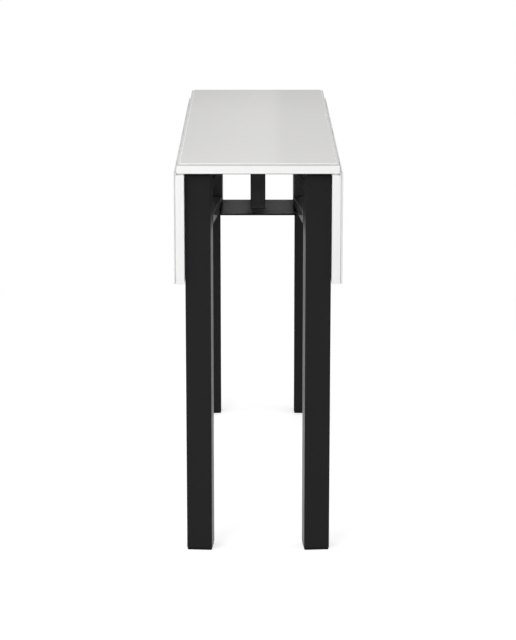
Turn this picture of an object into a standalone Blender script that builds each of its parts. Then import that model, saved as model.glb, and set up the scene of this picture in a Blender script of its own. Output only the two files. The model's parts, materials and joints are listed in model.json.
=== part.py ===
"""Drop-leaf table on swinging gate legs, with a back-painted glass top.

Metres, +Z up, X across the table and Y along it, origin on the floor under its middle.
It stands folded: both leaves hang, and the four gates rest just inside them.
"""

from math import asin, atan2, cos, hypot, pi, radians, sin, sqrt

import bmesh
import bpy
from mathutils import Matrix, Vector

# Top: a white board with a glass plate bonded on it
TABLE_HEIGHT = 0.750
TABLE_LENGTH = 1.050
PANEL_WIDTH = 0.3000
PANEL_THICK = 0.0157
PANEL_ARRIS = 0.0004
GLASS_THICK = 0.004
GLASS_ARRIS = 0.0015
GLASS_SIDE_INSET = 0.0048
GLASS_END_INSET = 0.0010

# Leaves, and the axis that they turn on
LEAF_WIDTH = 0.2078
LEAF_PANEL_THICK = 0.0157
AXIS_INSET = 0.0055
AXIS_DEPTH = 0.0123
LEAF_GAP = 0.0015
LEAF_RAISE = 90.0

# Leaf hinges: a bead on a web, gripped by a clip
HINGE_COUNT = 3
HINGE_LENGTH = 0.060
HINGE_END_INSET = 0.120
BEAD_RADIUS = 0.0026
CLIP_WALL = 0.0010
NECK_THICK = 0.0020
WEB_THICK = 0.0020
WEB_REACH = 0.0073
POCKET_END_GAP = 0.0020

# Gates: a leg, two rails and the stile that they swing on
LEG_SIZE = 0.048
LEG_WALL = 0.0015
LEG_CORNER = 0.0020
LEG_END_INSET = 0.010
LEG_LEAF_GAP = 0.0008
LEG_TOP_GAP = 0.0015
GATE_REACH = 0.220
GATE_SPLAY = 4.5
RAIL_SIZE = 0.020
RAIL_WALL = 0.0015
RAIL_CORNER = 0.0018
UPPER_RAIL_DROP = 0.020
STILE_SIZE = 0.020
CAP_THICK = 0.003
FOOT_THICK = 0.004
PLUG_DEPTH = 0.016
PLUG_INSET = 0.0008

# Cross frames between the gates
PLATE_DROP = 0.1064
PLATE_THICK = 0.003
PLATE_DEPTH = 0.155
HEAD_THICK = 0.004
LUG_SETBACK = 0.0050
LUG_MARGIN = 0.0020
POST_SIZE = 0.029
POST_WALL = 0.0015
POST_CORNER = 0.0018
PIN_RADIUS = 0.004
PIN_HEAD_RADIUS = 0.007
PIN_HEAD_THICK = 0.0025
LINER_FLANGE = 0.0008
LINER_FLANGE_RADIUS = 0.0092
STOP_WIDTH = 0.010
STOP_EDGE_INSET = 0.0125
STOP_OVERLAP = 0.008

# Clearances: pieces that rest on each other, and pieces that run in each other
SEAT = 0.0003
RUN = 0.0003

# Facets of round shapes
ARC_STEPS = 10
CORNER_STEPS = 3
ROUND_STEPS = 20

# Heights and places that follow from the sizes above
TOP_THICK = GLASS_THICK + SEAT + PANEL_THICK
UNDERSIDE = TABLE_HEIGHT - TOP_THICK
HALF_LENGTH = TABLE_LENGTH / 2
AXIS_X = PANEL_WIDTH / 2 - AXIS_INSET
AXIS_Z = TABLE_HEIGHT - AXIS_DEPTH
AXIS_TO_UNDERSIDE = TOP_THICK - AXIS_DEPTH
LEAF_GLASS_EDGE = AXIS_INSET + LEAF_GAP
LEAF_PANEL_EDGE = hypot(AXIS_INSET, AXIS_TO_UNDERSIDE) + RUN
LEAF_TIP = LEAF_GLASS_EDGE + LEAF_WIDTH
LEAF_PANEL_FACE = AXIS_DEPTH - GLASS_THICK - SEAT
LEAF_INNER_FACE = LEAF_PANEL_FACE - LEAF_PANEL_THICK
CLIP_INNER = BEAD_RADIUS + RUN
CLIP_OUTER = CLIP_INNER + CLIP_WALL
POCKET_TOP = CLIP_OUTER + RUN
POCKET_WALL = WEB_REACH + WEB_THICK + SEAT

SPLAY = radians(GATE_SPLAY)
LEG_SPREAD = LEG_SIZE / 2 * (cos(SPLAY) + sin(SPLAY))
LEG_X = AXIS_X + LEAF_INNER_FACE - LEG_LEAF_GAP - LEG_SPREAD
LEG_Y = HALF_LENGTH - LEG_END_INSET - LEG_SPREAD
LEG_OFFSET = (LEG_SIZE - RAIL_SIZE) / 2
PIVOT_X = LEG_X - GATE_REACH * sin(SPLAY) - LEG_OFFSET * cos(SPLAY)
PIVOT_Y = LEG_Y - GATE_REACH * cos(SPLAY) + LEG_OFFSET * sin(SPLAY)

HEAD_TOP = UNDERSIDE - SEAT
HEAD_UNDER = HEAD_TOP - HEAD_THICK
PLATE_TOP = UNDERSIDE - PLATE_DROP
PLATE_UNDER = PLATE_TOP - PLATE_THICK
LINER_LOW = PLATE_TOP + SEAT
LINER_HIGH = HEAD_UNDER - SEAT
STILE_LOW = LINER_LOW + LINER_FLANGE + SEAT
STILE_HIGH = LINER_HIGH - LINER_FLANGE
UPPER_RAIL_Z = UNDERSIDE - UPPER_RAIL_DROP - RAIL_SIZE / 2
LOWER_RAIL_Z = STILE_LOW + RAIL_SIZE / 2
CAP_TOP = UNDERSIDE - LEG_TOP_GAP
LEG_HIGH = CAP_TOP - CAP_THICK - SEAT
LEG_LOW = FOOT_THICK + SEAT

TABLE = "drop_leaf_table"
SIDES = {"left": -1, "right": 1}
ENDS = {"front": -1, "rear": 1}


def new_collection(name):
    """Add a collection to the scene"""
    collection = bpy.data.collections.new(name)
    bpy.context.scene.collection.children.link(collection)
    return collection


def finish(name, colour, roughness, metallic=0.0):
    """Principled material with one colour, roughness and metallic value"""
    material = bpy.data.materials.new(name)
    material.use_nodes = True
    shader = material.node_tree.nodes["Principled BSDF"]
    shader.inputs["Base Color"].default_value = (*colour, 1.0)
    shader.inputs["Roughness"].default_value = roughness
    shader.inputs["Metallic"].default_value = metallic
    return material


def add_part(name, mesh, material, place=(0, 0, 0), parent=None):
    """Put a mesh into the table's collection under its own name"""
    mesh.name = name
    mesh.materials.clear()
    mesh.materials.append(material)
    part = bpy.data.objects.new(name, mesh)
    part.location = place
    part.parent = parent
    bpy.data.collections[TABLE].objects.link(part)
    return part


def add_axis(name, place, turn=0.0):
    """Empty on a joint's axis, which carries the pieces that move with it"""
    axis = bpy.data.objects.new(name, None)
    axis.empty_display_size = LEG_SIZE
    axis.location = place
    axis.rotation_euler.z = turn
    bpy.data.collections[TABLE].objects.link(axis)
    return axis


def settle(mesh):
    """Weld loose points and turn every face outwards"""
    shape = bmesh.new()
    shape.from_mesh(mesh)
    bmesh.ops.remove_doubles(shape, verts=shape.verts, dist=1e-6)
    bmesh.ops.recalc_face_normals(shape, faces=shape.faces)
    shape.to_mesh(mesh)
    shape.free()
    return mesh


def evaluated_mesh(data, dress=None):
    """Mesh of a curve or of a mesh with modifiers, as Blender evaluates it"""
    shape = bpy.data.objects.new("shape", data)
    bpy.context.scene.collection.objects.link(shape)
    if dress:
        dress(shape)
    graph = bpy.context.evaluated_depsgraph_get()
    mesh = bpy.data.meshes.new_from_object(shape.evaluated_get(graph))
    bpy.data.objects.remove(shape)
    return settle(mesh)


def arc(centre, radius, start, end, steps=ARC_STEPS):
    """Points on a circle from one angle to another, both ends included"""
    turns = [start + (end - start) * step / steps for step in range(steps + 1)]
    return [(centre[0] + radius * cos(turn), centre[1] + radius * sin(turn)) for turn in turns]


def circle(centre, radius):
    """Closed round outline"""
    return arc(centre, radius, 0, 2 * pi, ROUND_STEPS)[:-1]


def rounded_square(size, corner):
    """Closed square outline with round corners"""
    reach = size / 2 - corner
    quarters = [(reach, reach), (-reach, reach), (-reach, -reach), (reach, -reach)]
    outline = []
    for quarter, centre in enumerate(quarters):
        start = quarter * pi / 2
        outline += arc(centre, corner, start, start + pi / 2, CORNER_STEPS)
    return outline


def extruded(outlines, thickness):
    """Flat shape of one rim and any holes, extruded both ways from the XY plane"""
    curve = bpy.data.curves.new("outline", "CURVE")
    curve.dimensions = "2D"
    curve.fill_mode = "BOTH"
    curve.extrude = thickness / 2
    for outline in outlines:
        spline = curve.splines.new("POLY")
        spline.points.add(len(outline) - 1)
        for point, (across, up) in zip(spline.points, outline):
            point.co = (across, up, 0, 1)
        spline.use_cyclic_u = True
    return evaluated_mesh(curve)


def square_tube(size, wall, corner, length):
    """Square tube with round corners, open at both ends, along Z"""
    bore = rounded_square(size - 2 * wall, max(corner - wall, wall / 4))
    return extruded([rounded_square(size, corner), bore], length)


def block(size, edge=0.0):
    """Box about the origin, with its edges eased by a one-step bevel"""
    shape = bmesh.new()
    bmesh.ops.create_cube(shape, size=1.0, matrix=Matrix.Diagonal((*size, 1.0)))
    if edge:
        bmesh.ops.bevel(shape, geom=shape.edges, offset=edge, segments=1, affect="EDGES")
    mesh = bpy.data.meshes.new("block")
    shape.to_mesh(mesh)
    shape.free()
    return mesh


def turned(profile, closed):
    """Profile of radius and height turned about Z, its outer side listed from the top down"""
    points = [(radius, 0, height) for radius, height in profile]
    edges = [(step, step + 1) for step in range(len(points) - 1)]
    if closed:
        edges.append((len(points) - 1, 0))
    mesh = bpy.data.meshes.new("profile")
    mesh.from_pydata(points, edges, [])

    def screw(shape):
        turn = shape.modifiers.new("turn", "SCREW")
        turn.steps = ROUND_STEPS
        turn.render_steps = ROUND_STEPS
        turn.use_merge_vertices = True
        turn.merge_threshold = 1e-5

    return evaluated_mesh(mesh, screw)


def repeated(mesh, places):
    """One mesh that holds a separate copy of a shape at each place"""
    group = bmesh.new()
    for place in places:
        copy = mesh.copy()
        copy.transform(place)
        group.from_mesh(copy)
        bpy.data.meshes.remove(copy)
    joined = bpy.data.meshes.new("group")
    group.to_mesh(joined)
    group.free()
    return joined


def plug(flange, thickness, bore, depth, corner):
    """Square flange with a plug on its upper face, its underside at the origin"""
    mesh = extruded([rounded_square(flange, corner)], thickness)
    shape = bmesh.new()
    shape.from_mesh(mesh)
    bmesh.ops.translate(shape, verts=shape.verts, vec=(0, 0, thickness / 2))
    top = [face for face in shape.faces if face.normal.z > 0.9]
    bmesh.ops.inset_region(shape, faces=top, thickness=(flange - bore) / 2, use_even_offset=True)
    raised = bmesh.ops.extrude_face_region(shape, geom=top)["geom"]
    points = [item for item in raised if isinstance(item, bmesh.types.BMVert)]
    bmesh.ops.translate(shape, verts=points, vec=(0, 0, depth))
    bmesh.ops.delete(shape, geom=top, context="FACES")
    shape.to_mesh(mesh)
    shape.free()
    return settle(mesh)


def cut(part, name, mesh):
    """Take a cutter's shape out of a part"""
    cutter = bpy.data.objects.new(name, mesh)
    cutter.hide_render = True
    cutter.display_type = "WIRE"
    bpy.data.collections["cutters"].objects.link(cutter)
    boolean = part.modifiers.new(name, "BOOLEAN")
    boolean.operation = "DIFFERENCE"
    boolean.solver = "EXACT"
    boolean.object = cutter


def hinge_places():
    """Middle of each hinge along the table"""
    first = HALF_LENGTH - HINGE_END_INSET
    step = 2 * first / (HINGE_COUNT - 1)
    return [step * hinge - first for hinge in range(HINGE_COUNT)]


def build_top(board, glass):
    """Centre panel with its hinge pockets, and the glass on it"""
    panel = add_part(
        "centre_panel",
        block((PANEL_WIDTH, TABLE_LENGTH, PANEL_THICK), PANEL_ARRIS),
        board,
        (0, 0, UNDERSIDE + PANEL_THICK / 2),
    )
    reach = POCKET_WALL + AXIS_INSET
    height = AXIS_TO_UNDERSIDE + POCKET_TOP
    pocket = block((2 * reach, HINGE_LENGTH + 2 * POCKET_END_GAP, 2 * height))
    places = [
        Matrix.Translation((side * PANEL_WIDTH / 2, y, UNDERSIDE))
        for side in SIDES.values()
        for y in hinge_places()
    ]
    cut(panel, "hinge_pockets", repeated(pocket, places))

    size = (PANEL_WIDTH - 2 * GLASS_SIDE_INSET, TABLE_LENGTH - 2 * GLASS_END_INSET, GLASS_THICK)
    middle = TABLE_HEIGHT - GLASS_THICK / 2
    add_part("centre_glass", block(size, GLASS_ARRIS), glass, (0, 0, middle))


def knuckle_outline(side):
    """Section of a hinge knuckle about the axis: a bead on a neck on a web"""
    half = NECK_THICK / 2
    root = asin(half / BEAD_RADIUS)
    low = PANEL_ARRIS - AXIS_TO_UNDERSIDE
    high = POCKET_TOP - SEAT
    inner = -WEB_REACH - WEB_THICK
    outline = [(inner, low), (-WEB_REACH, low), (-WEB_REACH, -half)]
    outline += arc((0, 0), BEAD_RADIUS, root - pi, pi - root, 2 * ARC_STEPS)
    outline += [(-WEB_REACH, half), (-WEB_REACH, high), (inner, high)]
    return [(side * across, up) for across, up in outline]


def clip_outline(side):
    """Section of a hanging leaf's clip: an open ring round the bead, on a neck and a flange"""
    half = NECK_THICK / 2
    mouth = asin((half + RUN) / CLIP_INNER)
    root = asin(half / CLIP_OUTER)
    start = mouth - pi
    end = pi - radians(LEAF_RAISE) - mouth
    low = SEAT - LEAF_PANEL_EDGE
    high = low + WEB_THICK
    inner = NECK_THICK / 2 - WEB_REACH
    outer = LEAF_PANEL_FACE - SEAT
    outline = arc((0, 0), CLIP_OUTER, start, -pi / 2 - root, ARC_STEPS // 2)
    outline += [(-half, high), (inner, high), (inner, low)]
    outline += [(outer, low), (outer, high), (half, high)]
    outline += arc((0, 0), CLIP_OUTER, root - pi / 2, end)
    outline += arc((0, 0), CLIP_INNER, end, start, 2 * ARC_STEPS)
    return [(side * across, up) for across, up in outline]


def hinge_piece(outline):
    """Hinge section extruded along the table"""
    mesh = extruded([outline], HINGE_LENGTH)
    mesh.transform(Matrix.Rotation(pi / 2, 4, "X"))
    return mesh


def build_leaf(name, side, board, glass, alloy):
    """One leaf hanging from its axis, and the knuckles that it hangs on"""
    axis = add_axis(f"{name}_leaf_axis", (side * AXIS_X, 0, AXIS_Z))
    for hinge, y in enumerate(hinge_places(), 1):
        knuckle = hinge_piece(knuckle_outline(side))
        add_part(f"hinge_knuckle_{name}_{hinge}", knuckle, alloy, (side * AXIS_X, y, AXIS_Z))
        clip = hinge_piece(clip_outline(side))
        add_part(f"hinge_clip_{name}_{hinge}", clip, alloy, (0, y, 0), axis)
    drop = LEAF_TIP - LEAF_PANEL_EDGE
    add_part(
        f"leaf_panel_{name}",
        block((LEAF_PANEL_THICK, TABLE_LENGTH, drop), PANEL_ARRIS),
        board,
        (side * (LEAF_PANEL_FACE - LEAF_PANEL_THICK / 2), 0, -LEAF_PANEL_EDGE - drop / 2),
        axis,
    )
    add_part(
        f"leaf_glass_{name}",
        block((GLASS_THICK, TABLE_LENGTH - 2 * GLASS_END_INSET, LEAF_WIDTH), GLASS_ARRIS),
        glass,
        (side * (AXIS_DEPTH - GLASS_THICK / 2), 0, -LEAF_GLASS_EDGE - LEAF_WIDTH / 2),
        axis,
    )


def frame_plate(thickness):
    """Flat plate with a round lug at each pivot and a hole for its pin"""
    across = PIVOT_X - LUG_SETBACK
    along = PLATE_DEPTH / 2
    lug = STILE_SIZE / 2 + LUG_MARGIN
    swing = pi - atan2(sqrt(lug**2 - LUG_SETBACK**2), LUG_SETBACK)
    rim = [(across, -along)] + arc((PIVOT_X, 0), lug, -swing, swing) + [(across, along)]
    rim += [(-x, -y) for x, y in rim]
    pins = [circle((side * PIVOT_X, 0), PIN_RADIUS + RUN) for side in SIDES.values()]
    return extruded([rim] + pins, thickness)


def build_cross_frame(name, end, coat, steel):
    """Plates, post, stop bar and pivot pins between one pair of gates"""
    y = end * PIVOT_Y
    middle = PLATE_TOP - PLATE_THICK / 2
    add_part(f"cross_plate_{name}", frame_plate(PLATE_THICK), coat, (0, y, middle))
    middle = HEAD_TOP - HEAD_THICK / 2
    add_part(f"head_plate_{name}", frame_plate(HEAD_THICK), coat, (0, y, middle))
    height = HEAD_UNDER - PLATE_TOP - 2 * SEAT
    post = square_tube(POST_SIZE, POST_WALL, POST_CORNER, height)
    add_part(f"centre_post_{name}", post, coat, (0, y, (HEAD_UNDER + PLATE_TOP) / 2))

    low = UPPER_RAIL_Z + RAIL_SIZE / 2 - STOP_OVERLAP
    high = HEAD_UNDER - SEAT
    length = 2 * (PIVOT_X - RAIL_SIZE / 2 - SEAT)
    stop_bar = block((length, STOP_WIDTH, high - low), PANEL_ARRIS)
    out = PIVOT_Y + PLATE_DEPTH / 2 - STOP_EDGE_INSET - STOP_WIDTH / 2
    place = (0, end * out, (low + high) / 2)
    add_part(f"stop_bar_{name}", stop_bar, coat, place)

    head_top = PLATE_UNDER - SEAT
    profile = [
        (0, HEAD_TOP - SEAT),
        (PIN_RADIUS, HEAD_TOP - SEAT),
        (PIN_RADIUS, head_top),
        (PIN_HEAD_RADIUS, head_top),
        (PIN_HEAD_RADIUS, head_top - PIN_HEAD_THICK),
        (0, head_top - PIN_HEAD_THICK),
    ]
    for side_name, side in SIDES.items():
        pin = turned(profile, closed=False)
        add_part(f"pivot_pin_{name}_{side_name}", pin, steel, (side * PIVOT_X, y, 0))


def build_spine(coat):
    """Tube under the top from one centre post to the other"""
    length = 2 * (PIVOT_Y - POST_SIZE / 2 - SEAT)
    tube = square_tube(POST_SIZE, POST_WALL, POST_CORNER, length)
    tube.transform(Matrix.Rotation(pi / 2, 4, "X"))
    add_part("spine_beam", tube, coat, (0, 0, HEAD_UNDER - SEAT - POST_SIZE / 2))


def build_gate(end_name, side_name, coat, plastic):
    """One gate about its pivot: X runs along the gate, and hand says which way is outwards"""
    end = ENDS[end_name]
    side = SIDES[side_name]
    hand = -end * side
    name = f"{end_name}_{side_name}"
    turn = atan2(end * cos(SPLAY), side * sin(SPLAY))
    axis = add_axis(f"{name}_gate_axis", (side * PIVOT_X, end * PIVOT_Y, 0), turn)
    leg_place = Vector((GATE_REACH, hand * LEG_OFFSET, 0))
    upwards = Vector((0, 0, 1))

    leg = square_tube(LEG_SIZE, LEG_WALL, LEG_CORNER, LEG_HIGH - LEG_LOW)
    middle = upwards * (LEG_HIGH + LEG_LOW) / 2
    add_part(f"leg_{name}", leg, coat, leg_place + middle, axis)
    bore = LEG_SIZE - 2 * LEG_WALL - 2 * SEAT
    flange = LEG_SIZE - 2 * PLUG_INSET
    foot = plug(flange, FOOT_THICK, bore, PLUG_DEPTH, LEG_CORNER)
    add_part(f"foot_glide_{name}", foot, plastic, leg_place, axis)
    cap = plug(flange, CAP_THICK, bore, PLUG_DEPTH, LEG_CORNER)
    cap.transform(Matrix.Rotation(pi, 4, "X"))
    add_part(f"leg_cap_{name}", cap, plastic, leg_place + upwards * CAP_TOP, axis)

    start = STILE_SIZE / 2 + SEAT
    stop = GATE_REACH - LEG_SIZE / 2 - SEAT
    for rail_name, height in (("upper", UPPER_RAIL_Z), ("lower", LOWER_RAIL_Z)):
        rail = square_tube(RAIL_SIZE, RAIL_WALL, RAIL_CORNER, stop - start)
        rail.transform(Matrix.Rotation(pi / 2, 4, "Y"))
        place = ((start + stop) / 2, 0, height)
        add_part(f"{rail_name}_rail_{name}", rail, coat, place, axis)

    stile = square_tube(STILE_SIZE, RAIL_WALL, RAIL_CORNER, STILE_HIGH - STILE_LOW)
    add_part(f"pivot_stile_{name}", stile, coat, upwards * (STILE_HIGH + STILE_LOW) / 2, axis)
    sleeve = STILE_SIZE / 2 - RAIL_WALL - SEAT
    bore = PIN_RADIUS + RUN
    profile = [
        (bore, LINER_HIGH),
        (sleeve, LINER_HIGH),
        (sleeve, LINER_LOW + LINER_FLANGE),
        (LINER_FLANGE_RADIUS, LINER_LOW + LINER_FLANGE),
        (LINER_FLANGE_RADIUS, LINER_LOW),
        (bore, LINER_LOW),
    ]
    add_part(f"pivot_liner_{name}", turned(profile, closed=True), plastic, parent=axis)


def main():
    """Clear the scene and build the table"""
    for leftover in list(bpy.data.objects):
        bpy.data.objects.remove(leftover)
    new_collection(TABLE)
    new_collection("cutters")
    board = finish("white_board", (0.83, 0.83, 0.82), 0.45)
    glass = finish("painted_glass", (0.78, 0.78, 0.77), 0.08)
    coat = finish("black_powder_coat", (0.018, 0.018, 0.020), 0.42)
    plastic = finish("black_plastic", (0.020, 0.020, 0.021), 0.55)
    steel = finish("zinc_steel", (0.55, 0.55, 0.54), 0.35, 1.0)
    alloy = finish("satin_aluminium", (0.70, 0.70, 0.70), 0.40, 1.0)

    build_top(board, glass)
    build_spine(coat)
    for name, side in SIDES.items():
        build_leaf(name, side, board, glass, alloy)
    for end_name, end in ENDS.items():
        build_cross_frame(end_name, end, coat, steel)
        for side_name in SIDES:
            build_gate(end_name, side_name, coat, plastic)


main()
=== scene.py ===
# %% [markdown]
# # A drop-leaf table with a painted glass top
#
# The table stands folded: a narrow fixed top, two leaves that hang at its long sides, and four black gate
# legs just inside them. The solids come from the packed model and stay where they are. This lesson gives
# each of them its finish, and adds the small things that a workshop leaves behind: weld beads, screws, the
# film that bonds the glass, felt pads on the legs, a silicone fillet round the centre glass, and the seals
# and stops of the leaf joints.

import json
from math import cos, pi, radians, sin

import bmesh
import bpy
import numpy as np
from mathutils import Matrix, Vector


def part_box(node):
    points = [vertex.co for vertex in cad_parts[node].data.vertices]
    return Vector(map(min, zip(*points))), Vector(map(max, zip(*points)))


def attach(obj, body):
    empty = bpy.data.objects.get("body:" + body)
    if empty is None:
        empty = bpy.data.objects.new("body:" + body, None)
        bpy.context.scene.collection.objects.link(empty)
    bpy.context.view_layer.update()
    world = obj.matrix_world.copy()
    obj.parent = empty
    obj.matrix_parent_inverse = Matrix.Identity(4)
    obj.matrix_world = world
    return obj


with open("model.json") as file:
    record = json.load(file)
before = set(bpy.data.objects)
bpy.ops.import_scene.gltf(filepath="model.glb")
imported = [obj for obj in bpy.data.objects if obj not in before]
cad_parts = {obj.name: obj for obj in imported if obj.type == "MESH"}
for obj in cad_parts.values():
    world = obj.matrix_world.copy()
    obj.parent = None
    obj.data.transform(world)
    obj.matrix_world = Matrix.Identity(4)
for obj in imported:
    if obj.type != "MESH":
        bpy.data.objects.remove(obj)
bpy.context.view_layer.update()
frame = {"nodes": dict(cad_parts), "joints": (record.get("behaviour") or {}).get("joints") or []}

# %% [markdown]
# ## Camera
#
# A product picture of a slim table is taken with a long lens from far off, so that its sides stay almost
# parallel. The place and the lens below come from a fit of the solids' corners to the picture: the camera
# stands in front of one short end, about twice as high as the table, and looks down by 13 degrees. A plain
# perspective camera does this; an orthographic one would lose the taper of the top.

# %% Camera
CAMERA_PLACE = (-0.0058, -4.6737, 1.4248)
CAMERA_TILT = 13.158
CAMERA_TURN = -0.077
LENS, SENSOR = 128.45, 36.0

camera_data = bpy.data.cameras.new("camera")
camera_data.lens = LENS
camera_data.sensor_width = SENSOR
camera = bpy.data.objects.new("camera", camera_data)
camera.location = CAMERA_PLACE
camera.rotation_euler = (radians(90 - CAMERA_TILT), 0, radians(CAMERA_TURN))
bpy.context.scene.collection.objects.link(camera)
bpy.context.scene.camera = camera
bpy.context.scene.view_settings.view_transform = "Standard"
print("lens", LENS, "mm, tilted down by", CAMERA_TILT, "degrees")

# %% [markdown]
# ## Shader arithmetic
#
# A finish is mostly sums: a little noise on the colour, a line where two pieces meet, a rougher rim. Wiring
# Math nodes by hand hides those sums, so one small class stands for a socket and lets Python's own
# operators add the nodes. Every other kind of node comes from its `add` method. A wire without a socket
# stands for the node tree alone, to start from.

# %% A socket that can be calculated with
class Wire:
    """A shader socket: a + b, a - b, a * b and abs(a) add a Math node and give its output"""

    def __init__(self, tree, socket=None):
        self.tree = tree
        self.socket = socket

    def add(self, kind, settings=None, sockets=None, output=0):
        """Add a node: its settings come first, then the values or links of its sockets"""
        node = self.tree.nodes.new(kind)
        for key, value in (settings or {}).items():
            setattr(node, key, value)
        for key, value in (sockets or {}).items():
            if isinstance(value, Wire):
                self.tree.links.new(value.socket, node.inputs[key])
            else:
                node.inputs[key].default_value = value
        return Wire(self.tree, node.outputs[output] if len(node.outputs) else None)

    def math(self, operation, first, second=0.0):
        """Add a Math node"""
        return self.add("ShaderNodeMath", {"operation": operation}, {0: first, 1: second})

    def __add__(self, other):
        return self.math("ADD", self, other)

    def __radd__(self, other):
        return self.math("ADD", other, self)

    def __sub__(self, other):
        return self.math("SUBTRACT", self, other)

    def __rsub__(self, other):
        return self.math("SUBTRACT", other, self)

    def __mul__(self, other):
        return self.math("MULTIPLY", self, other)

    def __rmul__(self, other):
        return self.math("MULTIPLY", other, self)

    def __abs__(self):
        return self.math("ABSOLUTE", self)


print("operators:", [name for name in vars(Wire) if name.startswith("__r") or name == "__abs__"])

# %% Smaller, larger and a smooth step
def least(first, second):
    """The smaller of two values"""
    return first.math("MINIMUM", first, second)


def most(first, second):
    """The larger of two values"""
    return first.math("MAXIMUM", first, second)


def rise(value, low, high):
    """0 below low, 1 above high, and a smooth step between them"""
    sockets = {"Value": value, "From Min": low, "From Max": high}
    return value.add("ShaderNodeMapRange", {"interpolation_type": "SMOOTHSTEP"}, sockets)


print("shader sums ready")

# %% [markdown]
# ## Room and floor
#
# The picture is a cut-out on white with soft light from all round. A white world gives the camera, and
# everything glossy, a plain white room, while a lower level lights the object. The floor is white to the
# camera in the same way, but near the table part of it is an ordinary matt surface, so that the legs still
# throw a faint shadow on it; further out it fades to plain white. Seen from below it is clear, so that the
# underside of the table can be looked at. More light could whiten the floor too, but it would bleach the
# table with it.

# %% Room
ROOM_LIGHT = 0.65
WHITE = (1, 1, 1, 1)


def seen_directly(tree):
    """1 for rays from the camera, off a glossy surface or through glass, and 0 for soft light"""
    rays = ("Is Camera Ray", "Is Glossy Ray", "Is Transmission Ray")
    camera_ray, glossy_ray, through_ray = [Wire(tree).add("ShaderNodeLightPath", output=ray) for ray in rays]
    return most(most(camera_ray, glossy_ray), through_ray)


world = bpy.data.worlds.new("studio")
bpy.context.scene.world = world
world.use_nodes = True
world.node_tree.nodes.clear()
seen = seen_directly(world.node_tree)
strength = ROOM_LIGHT + (1 - ROOM_LIGHT) * seen
room = seen.add("ShaderNodeBackground", None, {"Color": WHITE, "Strength": strength})
room.add("ShaderNodeOutputWorld", None, {"Surface": room})
print("room light", ROOM_LIGHT)

# %% Sheets of the studio
def studio_paint(name):
    """Material with an empty node tree"""
    paint = bpy.data.materials.new(name)
    paint.use_nodes = True
    paint.node_tree.nodes.clear()
    return paint


def flat_sheet(name, corners, material):
    """One four-sided face through its corners, as part of the studio"""
    mesh = bpy.data.meshes.new(name)
    mesh.from_pydata(corners, [], [(0, 1, 2, 3)])
    mesh.materials.append(material)
    sheet = bpy.data.objects.new(name, mesh)
    bpy.context.scene.collection.objects.link(sheet)
    return sheet


print("sheets ready")

# %% Floor
FLOOR_REACH = 9.0
FLOOR_MATT = (0.80, 0.80, 0.80, 1)
FLOOR_FAINT = (0.60, 0.60, 0.60, 1)
FLOOR_GLOW = 0.62
FLOOR_FADE = (0.7, 1.9)

floor_paint = studio_paint("studio_floor")
seen = seen_directly(floor_paint.node_tree)
matt = seen.add("ShaderNodeBsdfDiffuse", None, {"Color": FLOOR_MATT})
faint = seen.add("ShaderNodeBsdfDiffuse", None, {"Color": FLOOR_FAINT})
glow = seen.add("ShaderNodeEmission", None, {"Color": WHITE, "Strength": FLOOR_GLOW})
near_table = seen.add("ShaderNodeAddShader", None, {0: faint, 1: glow})
plain_white = seen.add("ShaderNodeEmission", None, {"Color": WHITE, "Strength": 1.0})
spot = seen.add("ShaderNodeTexCoord", output="Object")
from_middle = seen.add("ShaderNodeVectorMath", {"operation": "LENGTH"}, {0: spot}, "Value")
fade = rise(from_middle, *FLOOR_FADE)
bright = seen.add("ShaderNodeMixShader", None, {0: fade, 1: near_table, 2: plain_white})
upper_side = seen.add("ShaderNodeMixShader", None, {0: seen, 1: matt, 2: bright})
clear = seen.add("ShaderNodeBsdfTransparent")
from_below = seen.add("ShaderNodeNewGeometry", output="Backfacing")
both_sides = seen.add("ShaderNodeMixShader", None, {0: from_below, 1: upper_side, 2: clear})
both_sides.add("ShaderNodeOutputMaterial", None, {"Surface": both_sides})
reach = FLOOR_REACH
floor_corners = [(-reach, -reach, 0), (reach, -reach, 0), (reach, reach, 0), (-reach, reach, 0)]
flat_sheet("floor", floor_corners, floor_paint)
print("floor", 2 * reach, "m wide, plain white from", FLOOR_FADE[1], "m")

# %% [markdown]
# ## Lamps
#
# The light comes a little more from the left and from above the near end. One soft box hangs there, and
# four stand low on the four sides: at that height they light the upright faces and leave the top to the
# room and the hanging box, which makes the near end of the top the brightest. Area lamps are used because
# sun or spot lamps would throw hard shadows. None of them shows in the glass or to the camera.

# %% Lamps
TABLE_MIDDLE = (0, 0, 0.5)
LAMPS = [
    ("key_over_near_end", (-0.9, -1.9, 1.9), (0, -0.4, 0.6), 1.0, 17),
    ("fill_front", (-0.6, -4.2, 0.5), TABLE_MIDDLE, 0.9, 12),
    ("fill_left", (-3.0, -0.4, 0.5), TABLE_MIDDLE, 0.9, 16),
    ("fill_right", (3.0, -0.4, 0.5), TABLE_MIDDLE, 0.9, 19),
    ("fill_back", (0.6, 3.4, 0.5), TABLE_MIDDLE, 0.9, 20),
]


def soft_box(name, place, aim, size, power):
    """Square area lamp that faces a point"""
    lamp_data = bpy.data.lights.new(name, "AREA")
    lamp_data.size = size
    lamp_data.energy = power
    lamp = bpy.data.objects.new(name, lamp_data)
    lamp.location = place
    lamp.rotation_euler = (Vector(aim) - Vector(place)).to_track_quat("-Z", "Y").to_euler()
    lamp.visible_glossy = False
    lamp.visible_camera = False
    bpy.context.scene.collection.objects.link(lamp)


for lamp_row in LAMPS:
    soft_box(*lamp_row)
print(len(LAMPS), "soft boxes")

# %% [markdown]
# ## Card in the glass
#
# Glass that is seen at a low angle mirrors what stands behind the table, and about half of the top's tone
# is that reflection. A card stands for it here: a faintly warm grey, darker low down, with a brighter band
# that ends in a soft upright edge. The edge shows as a faint change of tone along the top, right of its
# middle. The card is only there for reflections: the camera and the soft light pass through it, and its own
# edges fade into the white room.

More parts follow.
